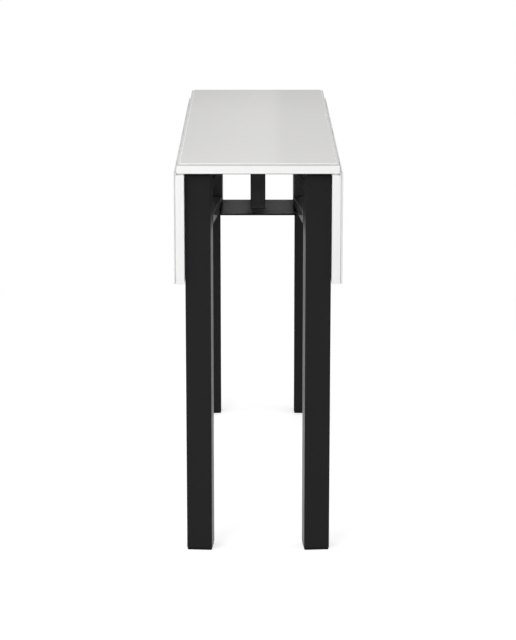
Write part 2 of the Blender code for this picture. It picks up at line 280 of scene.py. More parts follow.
# %% Reflected card
CARD_LOW, CARD_HIGH, CARD_BAND = 0.57, 0.69, 0.085
CARD_WHITE = (1, 0.992, 0.980, 1)
CARD_BEHIND = 4
CARD_CLIMB = (1.16, 1.32)
BAND_START, BAND_EDGE = (-0.32, 0.04), (0.055, 0.110)
SIDE_FADE, TOP_FADE, FOOT_FADE = (0.7, 1.6), (1.9, 2.6), (0.6, 1.0)

card_paint = studio_paint("grey_card")
card_place = Wire(card_paint.node_tree).add("ShaderNodeTexCoord", output="Object")
across = card_place.add("ShaderNodeSeparateXYZ", None, {0: card_place}, "X")
height = card_place.add("ShaderNodeSeparateXYZ", None, {0: card_place}, "Z")
shine = CARD_LOW + (CARD_HIGH - CARD_LOW) * rise(height, *CARD_CLIMB)
shine = shine + CARD_BAND * rise(across, *BAND_START) * (1 - rise(across, *BAND_EDGE))
rim = most(rise(height, *TOP_FADE), 1 - rise(height, *FOOT_FADE))
rim = most(rise(abs(across), *SIDE_FADE), rim)
shine = shine + rim * (1 - shine)
card_light = card_place.add("ShaderNodeEmission", None, {"Color": CARD_WHITE, "Strength": shine})
card_light.add("ShaderNodeOutputMaterial", None, {"Surface": card_light})
half, foot, top = SIDE_FADE[1], FOOT_FADE[0], TOP_FADE[1]
card_corners = [(x, CARD_BEHIND, z) for x, z in ((-half, foot), (half, foot), (half, top), (-half, top))]
card = flat_sheet("grey_card", card_corners, card_paint)
card.visible_camera = False
card.visible_diffuse = False
card.visible_transmission = False
card.visible_shadow = False
print("card", CARD_BEHIND, "m behind the middle, its edge from", *BAND_EDGE, "m")

# %% [markdown]
# ## Finishes
#
# Every finish starts the same way: a Principled shader with the numbers that are the same all over it, and
# the Object coordinates of the piece in metres, so that a scale of 1000 in a noise is about a millimetre.
# Such a pattern needs no unwrapping, keeps its scale from piece to piece, and moves with a piece that turns.

# %% Start of a finish
class Finish:
    """A Principled material with its Object coordinates at hand"""

    def __init__(self, name, constants):
        self.material = bpy.data.materials.new(name)
        self.material.use_nodes = True
        self.tree = self.material.node_tree
        self.shader = self.tree.nodes["Principled BSDF"]
        for socket, value in constants.items():
            self.shader.inputs[socket].default_value = value
        self.place = Wire(self.tree).add("ShaderNodeTexCoord", output="Object")

    def along(self, axis):
        """One coordinate of the place, in metres"""
        return self.place.add("ShaderNodeSeparateXYZ", None, {0: self.place}, axis)

    def noise(self, scale, detail=2.0, stretch=(1, 1, 1)):
        """Noise between 0 and 1 with cells of about 1 / scale metres, stretched by axis"""
        stretched = self.place.add("ShaderNodeMapping", None, {"Vector": self.place, "Scale": stretch})
        sockets = {"Vector": stretched, "Scale": scale, "Detail": detail}
        return self.place.add("ShaderNodeTexNoise", None, sockets)

    def mix(self, factor, first, second):
        """Colour that goes from first to second as the factor goes from 0 to 1"""
        colours = [(*c, 1) if isinstance(c, tuple) else c for c in (first, second)]
        sockets = {0: factor, 6: colours[0], 7: colours[1]}
        return self.place.add("ShaderNodeMix", {"data_type": "RGBA"}, sockets, 2)

    def relief(self, height, depth, strength=1.0, normal=None):
        """Bump of a height between 0 and 1 that is depth metres deep"""
        sockets = {"Height": height, "Distance": depth, "Strength": strength}
        if normal:
            sockets["Normal"] = normal
        return self.place.add("ShaderNodeBump", None, sockets)

    def feed(self, **wires):
        """Link values to the shader, with the sockets' names written in lower case"""
        for name, wire in wires.items():
            socket = name.replace("_", " ").title()
            self.tree.links.new(wire.socket, self.shader.inputs[socket])


print("finishes can", [name for name in vars(Finish) if not name.startswith("_")])

# %% Places on a solid
def flat_axes(low, high):
    """The two axes along which a flat piece is large"""
    thin = min(range(3), key=lambda at: high[at] - low[at])
    return [axis for at, axis in enumerate("XYZ") if at != thin]


def inside(finish, low, high, axes):
    """How far a point lies inside a box, by the nearest of its faces on the given axes"""
    depth = None
    for axis in axes:
        at = "XYZ".index(axis)
        middle, half = (low[at] + high[at]) / 2, (high[at] - low[at]) / 2
        here = half - abs(finish.along(axis) - middle)
        depth = here if depth is None else least(depth, here)
    return depth


def dress(material, *starts):
    """Give a finish to the solids whose names start so"""
    names = [name for name in frame["nodes"] if name.startswith(starts)]
    for name in names:
        data = frame["nodes"][name].data
        data.materials.clear()
        data.materials.append(material)
    print(len(names), "in", material.name)


# %% [markdown]
# ## White board
#
# The top and the leaves are furniture board in a white lacquer foil. Close up, the foil has a very fine
# orange peel, its white wanders by a percent or two, and a hair line runs a millimetre in from each edge,
# where the edging strip meets the face. Along the foot of the centre board's edges a thin dark line is
# painted shade, the shadow under the board's lower edge. A picture could hold these lines, but worked out
# from the distance to the edges they stay sharp; that needs each board's size, so each gets its own finish.

# %% White board
EDGING = 0.0010
SEAM = 0.00012
# Height, sharpness and reach of the painted shade line along the foot of the centre board's edges.
SHADE_LINE_HIGH = 0.0011
SHADE_LINE_SHARP = 0.9
SHADE_LINE_DEEP = (0.0004, 0.0006)


def white_board(node, foot=0.0):
    """Foil-covered board with an edging strip all round.
    The lowest part of its edges, foot metres high, is painted dark: painted shade under the board's lower
    edge."""
    low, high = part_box(node)
    finish = Finish(f"white_board_{node}", {"IOR": 1.46, "Specular IOR Level": 0.4})
    inset = inside(finish, low, high, flat_axes(low, high))
    seam = 1 - rise(abs(inset - EDGING), SEAM / 2, SEAM)
    drift = finish.noise(5.0, 3.0)
    fleck = finish.noise(700.0, 1.0)
    tone = finish.mix(drift, (0.855, 0.856, 0.850), (0.885, 0.886, 0.882))
    tone = finish.mix(0.25 * rise(fleck, 0.60, 0.75), tone, (0.83, 0.83, 0.82))
    tone = finish.mix(0.6 * seam, tone, (0.42, 0.42, 0.41))
    # Painted shade: a dark line along the foot of the edges stands in for the shadow under the board's lower
    # edge.
    if foot:
        joint = 1 - rise(finish.along("Z"), low.z + SHADE_LINE_SHARP * foot, low.z + foot)
        joint = joint * (1 - rise(inset, *SHADE_LINE_DEEP))
        tone = finish.mix(joint, tone, (0.03, 0.03, 0.03))
    peel = finish.noise(420.0, 2.0)
    normal = finish.relief(peel - 0.6 * seam, 0.00006, 0.35)
    finish.feed(base_color=tone, roughness=0.30 + 0.14 * drift, normal=normal)
    dress(finish.material, node)


white_board("centre_panel", SHADE_LINE_HIGH)
for board in ("leaf_panel_left", "leaf_panel_right"):
    white_board(board)

# %% [markdown]
# ## Painted glass
#
# The glass is painted white on its back, so it looks like a very even, very deep white under a mirror-like
# skin. Three things tell it from plastic: the polished edge is darker and a little green, because there
# the light has crossed a lot of glass; the arris between edge and face has a tone of its own; and the paint
# clouds very slightly. The arris is ground dull and light on the centre pane and nearly polished on the
# leaves. All of it depends only on how far a point lies from the rim. Clear glass over a painted sheet would
# be closer to the make, but takes long to render; one opaque surface with a glossy skin looks the same.

# %% Painted glass
ARRIS = 0.0015
ARRIS_BLUR = 0.00012
EDGE_SKIN = (0.00002, 0.00010)


def painted_glass(node, rim_tone, ground, edge_tone_and_painted_light):
    """Back-painted glass with an arris of its own tone, ground dull by 0 to 1, and a polished edge whose
    tone, on the leaves, also carries painted light
    """
    low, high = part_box(node)
    finish = Finish(f"painted_glass_{node}", {"IOR": 1.52})
    inset = inside(finish, low, high, flat_axes(low, high))
    edge = 1 - rise(inset, *EDGE_SKIN)
    rim = 1 - rise(inset, ARRIS, ARRIS + ARRIS_BLUR)
    cloud = finish.noise(7.0, 3.0)
    smear = finish.noise(26.0, 4.0, (1, 0.35, 1))
    face = finish.mix(cloud, (0.775, 0.772, 0.758), (0.797, 0.794, 0.780))
    tone = finish.mix(rim, face, rim_tone)
    tone = finish.mix(edge, tone, edge_tone_and_painted_light)
    dull = 0.035 + 0.05 * rise(smear, 0.45, 0.75) + 0.40 * ground * (rim - 0.9 * edge)
    grind = finish.noise(2200.0, 1.0)
    normal = finish.relief(grind * (rim - edge), 0.00003, 0.4)
    finish.feed(base_color=tone, roughness=dull, normal=normal)
    dress(finish.material, node)


LIGHT_RIM, LEAF_RIM = (0.86, 0.87, 0.86), (0.77, 0.78, 0.77)
painted_glass("centre_glass", LIGHT_RIM, ground=1.0, edge_tone_and_painted_light=(0.62, 0.64, 0.63))
# Painted light: the right leaf's edge is painted lighter and the left leaf's darker, for light that falls
# more from the right on these edges.
painted_glass("leaf_glass_left", LEAF_RIM, ground=0.3, edge_tone_and_painted_light=(0.65, 0.67, 0.66))
painted_glass("leaf_glass_right", LEAF_RIM, ground=0.3, edge_tone_and_painted_light=(0.79, 0.80, 0.79))

# %% [markdown]
# ## Black powder coat
#
# Legs, rails, posts and plates are steel under a satin black powder coat. The powder melts into tiny
# pimples less than a millimetre across, which break up every reflection, and a Bevel node rounds the
# corners' shading, as the melted coat does. High between the rails the coat on the legs is dry and dull.
# A lighter grey is mixed into the black as painted fill light where shade falls: a trace on the legs, and
# much more on the stiles, the lower rails, the plates and the posts' feet. Most of it goes into the nooks
# where the shade is deepest: on top of the lower rails, round the posts' feet, and on the plates in line
# with the posts, where they mirror the dark posts. The plates' rims are painted black, a painted shade
# along their edges. The pimples are far too small to model, so a Bump node makes them, and one recipe makes
# the coats of the gates, rails, stiles, frame and each plate.

# %% Recipe of the coat
# A lighter grey, mixed into the black as painted fill light where shade falls.
PAINTED_FILL_GREY = (0.170, 0.170, 0.174)
# Painted shade: plate rims are painted this black, over this width from their edges.
RIM_SHADE_BLACK = (0.004, 0.004, 0.004)
RIM_SHADE_WIDTH = (0.0003, 0.0006)
DRY_CLIMB = (0.605, 0.675)
COAT_ROUND = 0.0008
BELOW_TOP = (-1.0, 0.0, 0.69, 0.78)


def powder_coat(name, gloss, polish, thin, bare=BELOW_TOP, dry=False, shaded_plate=None, nook_fill=None):
    """Satin black coat with pimples, slow changes of gloss and softened corners.
    thin, 0 to 1: how much painted fill light, a lighter grey in the black, lifts the shade; it comes in
    between the first two heights of bare and goes out between the last two. dry: duller from the lower rails
    upwards. shaded_plate: the plate whose rims are painted black as painted shade. nook_fill: gives from the
    finish how much more painted fill light goes into a corner."""
    finish = Finish(name, {"IOR": 1.5, "Specular IOR Level": gloss})
    height = finish.along("Z")
    pimple = finish.noise(1300.0, 2.0)
    flow = finish.noise(9.0, 3.0)
    grit = finish.noise(3600.0, 0.0)
    tone = finish.mix(flow, (0.0100, 0.0101, 0.0108), (0.0128, 0.0129, 0.0137))
    tone = finish.mix(0.5 * rise(grit, 0.62, 0.74), tone, (0.020, 0.020, 0.021))
    # Painted fill light: the share of lighter grey mixed into the black, more in the nooks, within the
    # heights of bare.
    share = thin + nook_fill(finish) if nook_fill else thin
    fill_mask = share * rise(height, *bare[:2]) * (1 - rise(height, *bare[2:]))
    tone = finish.mix(fill_mask, tone, PAINTED_FILL_GREY)
    soft = finish.place.add("ShaderNodeBevel", {"samples": 4}, {"Radius": COAT_ROUND})
    normal = finish.relief(pimple, 0.00012, 0.30, soft)
    dull = polish + 0.09 * flow
    if dry:
        dull = dull + 0.36 * rise(height, *DRY_CLIMB)
    # Painted shade: a plate's rims are painted black and made metallic, so that they reflect almost nothing,
    # standing in for the shade on the plate's edges.
    if shaded_plate:
        rim_shade = 1 - rise(inside(finish, *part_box(shaded_plate), "XY"), *RIM_SHADE_WIDTH)
        tone = finish.mix(rim_shade, tone, RIM_SHADE_BLACK)
        finish.feed(metallic=rim_shade)
    finish.feed(base_color=tone, roughness=dull, normal=normal)
    return finish.material


# The heights where the painted fill light comes in and goes out.
print("primer comes in and goes out at", BELOW_TOP)

# %% Painted fill light in the nooks
RAIL_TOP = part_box("lower_rail_front_left")[1].z
POST_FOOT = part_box("centre_post_front")[0].z
# Shares of painted fill light in each nook, and the distances over which each fades.
RAIL_FILL, RAIL_FADE = 0.66, (-0.0018, -0.0004)
WELD_FILL, WELD_FADE = 0.60, (0.0006, 0.0018)
POST_FILL, POST_FADE = 0.22, (0.002, 0.010)
LINE_FILL, LINE_FADE = 0.50, (-0.003, 0.001)
ROUND_FILL, ROUND_FADE = 0.30, (-0.018, -0.002)


def fill_on_rail_top(finish):
    """More painted fill light on the lower rails' upper faces, in the shade between the rails"""
    return RAIL_FILL * rise(finish.along("Z") - RAIL_TOP, *RAIL_FADE)


def fill_at_post_foot(finish):
    """More painted fill light on the posts' lowest centimetre, and most of it on the weld under them, where
    the shade is deepest
    """
    above = finish.along("Z") - POST_FOOT
    return WELD_FILL * (1 - rise(above, *WELD_FADE)) + POST_FILL * (1 - rise(above, *POST_FADE))


def fill_in_line_with(post):
    """More painted fill light on a plate in line with its post, and most of it round the post's foot, where
    the plate mirrors the dark post
    """
    low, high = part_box(post)

    def nook_fill(finish):
        beside = inside(finish, low, high, "X")
        around = inside(finish, low, high, "XY")
        return LINE_FILL * rise(beside, *LINE_FADE) + ROUND_FILL * rise(around, *ROUND_FADE)

    return nook_fill


print("nooks at", RAIL_TOP, "m and", POST_FOOT, "m")

# %% Coats of gates and frame
# Heights where painted fill light comes in and goes out on the lower rails and on the posts.
RAIL_FILL_BAND = (0.627, 0.634, 0.69, 0.78)
POST_FILL_BAND = (-1.0, 0.0, 0.625, 0.668)

# Each coat takes its own share of painted fill light (thin): a trace on the legs, much more on the rails,
# stiles and posts, which stand in shade.
gate_coat = powder_coat("black_coat_gates", gloss=0.05, polish=0.26, thin=0.0315, dry=True)
rail_coat = powder_coat(
    "black_coat_rails", gloss=0.008, polish=0.18, thin=0.325, bare=RAIL_FILL_BAND, nook_fill=fill_on_rail_top
)
stile_coat = powder_coat("black_coat_stiles", gloss=0.19, polish=0.26, thin=0.325)
frame_coat = powder_coat(
    "black_coat_frame", gloss=0.19, polish=0.26, thin=0.278, bare=POST_FILL_BAND, nook_fill=fill_at_post_foot
)
dress(gate_coat, "leg_front", "leg_rear", "upper_rail")
dress(rail_coat, "lower_rail")
dress(stile_coat, "pivot_stile")
dress(frame_coat, "spine_beam", "head_plate", "centre_post", "stop_bar")

# %% Coats of the plates
PLATE_UNDERSIDE, PLATE_SKIN = 0.0008, 0.0004
ABOVE_PLATE = (0.70, 0.71)

for end in ("front", "rear"):
    plate = f"cross_plate_{end}"
    low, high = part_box(plate)
    upper_face = (low.z + PLATE_UNDERSIDE, high.z - PLATE_SKIN, *ABOVE_PLATE)
    nook_fill = fill_in_line_with(f"centre_post_{end}")
    # Painted fill light on the plate's upper face, more in line with its post, and painted shade on its
    # rims.
    plate_coat = powder_coat(
        f"black_coat_{plate}", gloss=0.14, polish=0.26, thin=0.180, bare=upper_face, shaded_plate=plate, nook_fill=nook_fill
    )
    dress(plate_coat, plate)

# %% [markdown]
# ## Plastic, zinc and aluminium
#
# The small parts are seen close up or not at all: moulded black caps, feet and pivot liners with a spark
# eroded grain, zinc plated pins with a patchy bluish film, and hinge sections of extruded aluminium with
# fine lines along the way they were pressed. Stretching a noise along one axis is enough to draw such lines.

# %% Plastic, zinc and aluminium
def moulded_plastic():
    """Black plastic with an eroded grain"""
    finish = Finish("moulded_plastic", {"IOR": 1.49, "Specular IOR Level": 0.12})
    grain = finish.noise(1700.0, 3.0)
    flow = finish.noise(40.0, 2.0)
    tone = finish.mix(flow, (0.0036, 0.0036, 0.0038), (0.0062, 0.0062, 0.0065))
    normal = finish.relief(grain, 0.00010, 0.45)
    finish.feed(base_color=tone, roughness=0.50 + 0.14 * grain, normal=normal)
    return finish.material


def zinc_plate():
    """Zinc plated steel with a patchy film and fine drawing lines"""
    finish = Finish("zinc_plate", {"Metallic": 1.0})
    film = finish.noise(160.0, 3.0)
    lines = finish.noise(900.0, 1.0, (1, 1, 0.05))
    tone = finish.mix(film, (0.50, 0.51, 0.53), (0.63, 0.62, 0.60))
    normal = finish.relief(lines, 0.00002, 0.5)
    finish.feed(base_color=tone, roughness=0.26 + 0.20 * film, normal=normal)
    return finish.material


def pressed_aluminium():
    """Extruded aluminium with lines along the section's length"""
    finish = Finish("pressed_aluminium", {"Metallic": 1.0})
    lines = finish.noise(2600.0, 2.0, (1, 0.004, 1))
    film = finish.noise(60.0, 2.0)
    tone = finish.mix(lines, (0.62, 0.62, 0.63), (0.76, 0.76, 0.76))
    normal = finish.relief(lines, 0.00002, 0.6)
    finish.feed(base_color=tone, roughness=0.28 + 0.16 * film, normal=normal)
    return finish.material


zinc = zinc_plate()
dress(moulded_plastic(), "leg_cap", "foot_glide", "pivot_liner")
dress(zinc, "pivot_pin")
dress(pressed_aluminium(), "hinge")
print("bare solids:", [name for name, node in frame["nodes"].items() if not node.data.materials])

# %% [markdown]
# ## Pieces as rings of points
#
# The pieces that are added are all skins over rings: ring after ring of points, the same number in each,
# joined to its neighbours. A bead of weld is a small section carried round a tube, and a screw is a profile
# carried round an axis. Curves with a bevel could do some of this, but rings worked out as whole arrays can
# change their section on the way, and go into a mesh at once. A piece keeps a few hundredths of a millimetre
# clear of the solid that it lies on, so that no two faces share a plane.

# %% Skin over rings
SNUG, LOOSE = 0.00003, 0.00004


def ring_skin(rings, looped=False):
    """Points and faces of a skin over rings[i, j]; looped joins the last ring to the first,
    and otherwise the first and the last ring are closed by a fan about their middle"""
    count, size = rings.shape[:2]
    points = rings.reshape(-1, 3)
    index = np.arange(count * size).reshape(count, size)
    ahead = np.roll(index, -1, axis=1)
    below, beside = np.roll(index, -1, axis=0), np.roll(ahead, -1, axis=0)
    quads = np.stack([index, ahead, beside, below], axis=-1)
    if looped:
        return points, quads.reshape(-1, 4).tolist()
    faces = quads[:-1].reshape(-1, 4).tolist()
    middles = np.stack([rings[0].mean(axis=0), rings[-1].mean(axis=0)])
    first = np.stack([np.full(size, count * size), ahead[0], index[0]], axis=-1)
    last = np.stack([np.full(size, count * size + 1), index[-1], ahead[-1]], axis=-1)
    return np.concatenate([points, middles]), faces + first.tolist() + last.tolist()


print("pieces lie", SNUG, "to", LOOSE, "m off their solids")

# %% Piece from skins
def add_piece(name, skins, material, body, crease=40):
    """One object from several skins, which rides on a body of the table"""
    mesh = bpy.data.meshes.new(name)
    starts = np.cumsum([0] + [len(points) for points, faces in skins])
    points = np.concatenate([points for points, faces in skins])
    faces = [[start + at for at in face] for start, (_, group) in zip(starts, skins) for face in group]
    mesh.from_pydata(points.tolist(), [], faces)
    shape = bmesh.new()
    shape.from_mesh(mesh)
    bmesh.ops.recalc_face_normals(shape, faces=shape.faces)
    shape.to_mesh(mesh)
    shape.free()
    mesh.polygons.foreach_set("use_smooth", np.ones(len(mesh.polygons), bool))
    mesh.set_sharp_from_angle(angle=radians(crease))
    mesh.materials.append(material)
    piece = bpy.data.objects.new(name, mesh)
    bpy.context.scene.collection.objects.link(piece)
    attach(piece, body)
    print(name, "has", len(faces), "faces on", body)


# %% Rounded square
SQUARE = np.array([[1, 1], [-1, 1], [-1, -1], [1, -1]])


def rounded_square(size, corner, count):
    """Points and outward directions round a square with round corners.
    Each quarter turn adds count / 4 points: half of them on its corner, half on the side after it."""
    quarter = count // 4
    turn = np.concatenate([np.linspace(0, 1, quarter // 2), np.ones(quarter - quarter // 2)])
    slide = np.concatenate([np.zeros(quarter // 2), np.linspace(0, 1, quarter - quarter // 2 + 1)[1:]])
    slide[-1] -= 1 / quarter
    angle = (np.arange(4)[:, None] + turn[None, :]) * pi / 2
    normal = np.stack([np.cos(angle), np.sin(angle)], axis=-1)
    start = SQUARE[:, None, :] * (size / 2 - corner)
    after = np.roll(start, -1, axis=0)
    centre = start + (after - start) * slide[None, :, None]
    return (centre + corner * normal).reshape(-1, 2), normal.reshape(-1, 2)


print(len(rounded_square(1.0, 0.1, 64)[0]), "points round a square")

# %% [markdown]
# ## Weld beads
#
# The rails are welded to the leg and to the stile, and each post to its plates. A bead is a small fillet
# with a ripple every two millimetres or so, where the torch was moved on. On a side where two tubes are
# flush it is ground back, so the bead shrinks there. Each gate's beads ride on that gate.

# %% Bead round a tube
RIPPLE, RIPPLE_SHARE = 0.0022, 0.07
BEAD_FULL, BEAD_CORE = 0.16, 0.02
BEAD_STEPS = 6


def bead(tube, corner, size, place, count=160):
    """Fillet round a tube that ends on a wall.
    The section runs from the wall (out, 0) to the tube (0, out) on a slightly full curve and closes in
    the corner; size(n) gives its reach by the outward direction n, and place(p, q, b) the point at p, q
    across the tube and b away from the wall."""
    spot, normal = rounded_square(tube, corner, count)
    along = np.concatenate([[0], np.cumsum(np.linalg.norm(np.diff(spot, axis=0), axis=1))])
    reach = size(normal) * (1 + RIPPLE_SHARE * np.cos(2 * pi * along / RIPPLE))
    sweep = np.linspace(0, 1, BEAD_STEPS)
    bulge = BEAD_FULL * np.sin(pi * sweep)
    out = np.concatenate([1 - sweep + bulge, [BEAD_CORE]])[None, :] * reach[:, None]
    away = np.concatenate([sweep + bulge, [BEAD_CORE]])[None, :] * reach[:, None]
    across = spot[:, None, :] + (out[..., None] + LOOSE) * normal[:, None, :]
    return ring_skin(place(across[..., 0], across[..., 1], away + LOOSE), looped=True)


print("a bead's section has", BEAD_STEPS + 1, "points")

# %% Sizes and places of the gates' beads
RAIL, RAIL_CORNER, STILE, LEG = 0.020, 0.0018, 0.020, 0.048
GATE_REACH, SPLAY = 0.220, radians(4.5)
LEG_BEAD, LEG_GROUND = 0.0024, 0.8
STILE_BEAD, STILE_GROUND = 0.0010, 0.5


def leg_size(normal):
    """Bead on a leg, ground back on the inward side, where rail and leg are flush"""
    return LEG_BEAD * (1 - LEG_GROUND * np.clip(normal[:, 0], 0, 1) ** 2)


def stile_size(normal):
    """Bead on a stile, slimmer on both sides, where rail and stile are equally wide"""
    return STILE_BEAD * (1 - STILE_GROUND * normal[:, 0] ** 2)


def on_gate(middle, side, end, wall, sense):
    """Place on a gate: b runs along the gate from the wall, forwards or back as sense is 1 or -1,
    p runs inwards and q upwards"""
    ahead = np.array([side * sin(SPLAY), end * cos(SPLAY), 0])
    inward = np.array([-side * cos(SPLAY), end * sin(SPLAY), 0])
    up = np.array([0, 0, 1.0])

    def place(p, q, b):
        run = (wall + sense * b)[..., None] * ahead
        return middle + run + p[..., None] * inward + q[..., None] * up

    return place


print("beads of", 1000 * LEG_BEAD, "and", 1000 * STILE_BEAD, "mm")

# %% Beads of the gates
gate_joints = [joint for joint in frame["joints"] if joint["child"].endswith("_gate")]

for joint in gate_joints:
    body = joint["child"]
    gate = body[: -len("_gate")]
    pivot = np.array(joint["pos_m"])
    side, end = np.sign(pivot[:2])
    skins = []
    for rail in ("upper", "lower"):
        low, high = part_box(f"{rail}_rail_{gate}")
        middle = np.array([pivot[0], pivot[1], (low.z + high.z) / 2])
        on_leg = on_gate(middle, side, end, GATE_REACH - LEG / 2, -1)
        on_stile = on_gate(middle, side, end, STILE / 2, 1)
        skins.append(bead(RAIL, RAIL_CORNER, leg_size, on_leg))
        skins.append(bead(RAIL, RAIL_CORNER, stile_size, on_stile))
    add_piece(f"weld_beads_{gate}", skins, stile_coat, body)

# %% Beads of the posts
POST, POST_CORNER, POST_POINTS = 0.029, 0.0018, 200
FOOT_BEAD, HEAD_BEAD, HEAD_GROUND = 0.0008, 0.0012, 0.9


def foot_size(normal):
    """Even bead round a post's foot"""
    return np.full(len(normal), FOOT_BEAD)


def head_size(inner):
    """Bead round a post's head, ground back on the inner side, where the spine beam starts"""
    return lambda normal: HEAD_BEAD * (1 - HEAD_GROUND * np.clip(inner * normal[:, 1], 0, 1) ** 2)


def on_post(middle, wall, sense):
    """Place on a post: b runs up or down from the wall as sense is 1 or -1"""
    return lambda p, q, b: middle + np.stack([p, q, wall + sense * b], axis=-1)


skins = []
for end, inner in (("front", 1), ("rear", -1)):
    low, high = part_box(f"centre_post_{end}")
    middle = np.array([(low.x + high.x) / 2, (low.y + high.y) / 2, 0])
    on_plate = on_post(middle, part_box(f"cross_plate_{end}")[1].z, 1)
    under_head = on_post(middle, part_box(f"head_plate_{end}")[0].z, -1)
    skins.append(bead(POST, POST_CORNER, foot_size, on_plate, POST_POINTS))
    skins.append(bead(POST, POST_CORNER, head_size(inner), under_head, POST_POINTS))
add_piece("weld_beads_posts", skins, frame_coat, "frame")

# %% [markdown]
# ## Screws under the head plates
#
# Each head plate is screwed up into the board with four pan-head screws. A pan head is a profile turned
# about an axis; the cross recess is pressed into it by lowering the points that lie inside a cross, with
# walls that lean as the driver's do. A Boolean cut would leave ragged faces there.

# %% Screw
SCREW_RADIUS, SCREW_HEIGHT = 0.0042, 0.0023
FLAT_SHARE, WALL_SHARE = 0.72, 0.35
CROWN_RINGS = np.linspace(0.70, 0.04, 14)
ARM_HALF, ARM_REACH, ARM_DEEP = 0.13, 0.58, 0.62
WALL_LEAN, END_LEAN = 0.0002, 0.0006


def pan_screw(x, y, seat, steps=72):
    """Pan head hanging from a plate at height seat, its recess facing down.
    The profile is an upright wall, a quarter of an ellipse (out by cos a, up by sin a), and a flat crown."""
    radius, height = SCREW_RADIUS, SCREW_HEIGHT
    turn = np.linspace(0, 2 * pi, steps, endpoint=False)
    climb = np.linspace(0, pi / 2, 7)
    edge_out = FLAT_SHARE * radius + (1 - FLAT_SHARE) * radius * np.cos(climb)
    edge_up = WALL_SHARE * height + (1 - WALL_SHARE) * height * np.sin(climb)
    crown = np.stack([CROWN_RINGS * radius, np.full(len(CROWN_RINGS), height)])
    profile = np.concatenate([[[radius], [0.0]], np.stack([edge_out, edge_up]), crown], axis=1)
    across = profile[0][:, None] * np.cos(turn)
    along = profile[0][:, None] * np.sin(turn)
    near = np.minimum(np.abs(across), np.abs(along))
    far = np.maximum(np.abs(across), np.abs(along))
    cross = np.clip((ARM_HALF * radius + WALL_LEAN - near) / WALL_LEAN, 0, 1)
    cross = cross * np.clip((ARM_REACH * radius - far) / END_LEAN, 0, 1)
    drop = profile[1][:, None] - ARM_DEEP * height * cross
    return ring_skin(np.stack([x + across, y + along, seat - SNUG - drop], axis=-1))


print("screw heads", 2000 * SCREW_RADIUS, "mm wide")

# %% Screws in place
SCREW_ACROSS = 0.056
SCREW_AHEAD = (-0.060, 0.040)

skins = []
for end, sign in (("front", -1), ("rear", 1)):
    low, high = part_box(f"head_plate_{end}")
    middle = (low.y + high.y) / 2
    for across in (-SCREW_ACROSS, SCREW_ACROSS):
        for ahead in SCREW_AHEAD:
            skins.append(pan_screw(across, middle + sign * ahead, low.z))
add_piece("head_plate_screws", skins, zinc, "frame", 30)

# %% [markdown]
# ## Bonding film and felt pads
#
# The glass is held by a film of clear glue over its paint, a third of a millimetre thick, which stops just
# short of the rim. On top of each leg a square of felt keeps the steel off the board when the gate swings.
# Both are flat cakes: rings that grow from a middle, round an edge and shrink again. A flattened cube would
# be quicker, but its sharp edges catch no light.

# %% Flat cakes
SQUARENESS = 40


def cake(outline, low, high, ease, place):
    """Flat piece over a closed outline: its rings lie at the shares of the outline given below,
    and at heights from low to high, with an edge eased by the length ease"""
    span = np.abs(outline).max()
    share = 1 - np.array([0.5, ease / span, 0, 0, ease / span, 0.5])
    level = np.array([low, low, low + ease, high - ease, high, high])
    rings = share[:, None, None] * outline[None, :, :]
    height = np.broadcast_to(level[:, None], rings.shape[:2])
    return ring_skin(place(rings[..., 0], rings[..., 1], height))


def box_outline(half_p, half_q, count=96):
    """Rectangle as a superellipse: |p / half_p| ** 40 + |q / half_q| ** 40 = 1"""
    turn = np.linspace(0, 2 * pi, count, endpoint=False)
    cosine, sine = np.cos(turn), np.sin(turn)
    grow = (np.abs(cosine) ** SQUARENESS + np.abs(sine) ** SQUARENESS) ** (-1 / SQUARENESS)
    return np.stack([half_p * grow * cosine, half_q * grow * sine], axis=-1)


print("an outline has", len(box_outline(1, 1)), "points")

# %% Glue and felt
def glue_film():
    """Milky glue and paint seen at the rim of the glass"""
    finish = Finish("glue_film", {"IOR": 1.48})
    cloud = finish.noise(220.0, 2.0)
    tone = finish.mix(cloud, (0.50, 0.51, 0.50), (0.62, 0.62, 0.61))
    finish.feed(base_color=tone, roughness=0.30 + 0.2 * cloud)
    return finish.material


def grey_felt():
    """Pressed felt: crossed fibres in two greys and a soft nap"""
    finish = Finish("grey_felt", {"Specular IOR Level": 0.1})
    fibre = finish.noise(900.0, 4.0, (1, 0.3, 1)) * finish.noise(900.0, 4.0, (0.3, 1, 1))
    tone = finish.mix(rise(fibre, 0.15, 0.38), (0.035, 0.035, 0.038), (0.11, 0.11, 0.115))
    normal = finish.relief(fibre, 0.0003, 0.8)
    finish.feed(base_color=tone, roughness=0.85 + 0.1 * fibre, normal=normal)
    return finish.material


film = glue_film()
felt = grey_felt()
print(film.name, "and", felt.name)

# %% Film behind each pane
FILM_INSET, FILM_EASE = 0.0014, 0.00004


def lying(p, q, h):
    """Place of a cake that lies flat"""
    return np.stack([p, q, h], axis=-1)


def hanging(sign, centre):
    """Place of a cake on a hanging leaf, on the left or right as sign is -1 or 1"""
    return lambda p, q, h: np.stack([sign * h, p, centre + q], axis=-1)


pane_low, pane_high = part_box("centre_glass")
board_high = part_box("centre_panel")[1]
outline = box_outline(pane_high.x - FILM_INSET, pane_high.y - FILM_INSET)
skins = [cake(outline, board_high.z + SNUG, pane_low.z - SNUG, FILM_EASE, lying)]
add_piece("bonding_film_centre", skins, film, "frame")

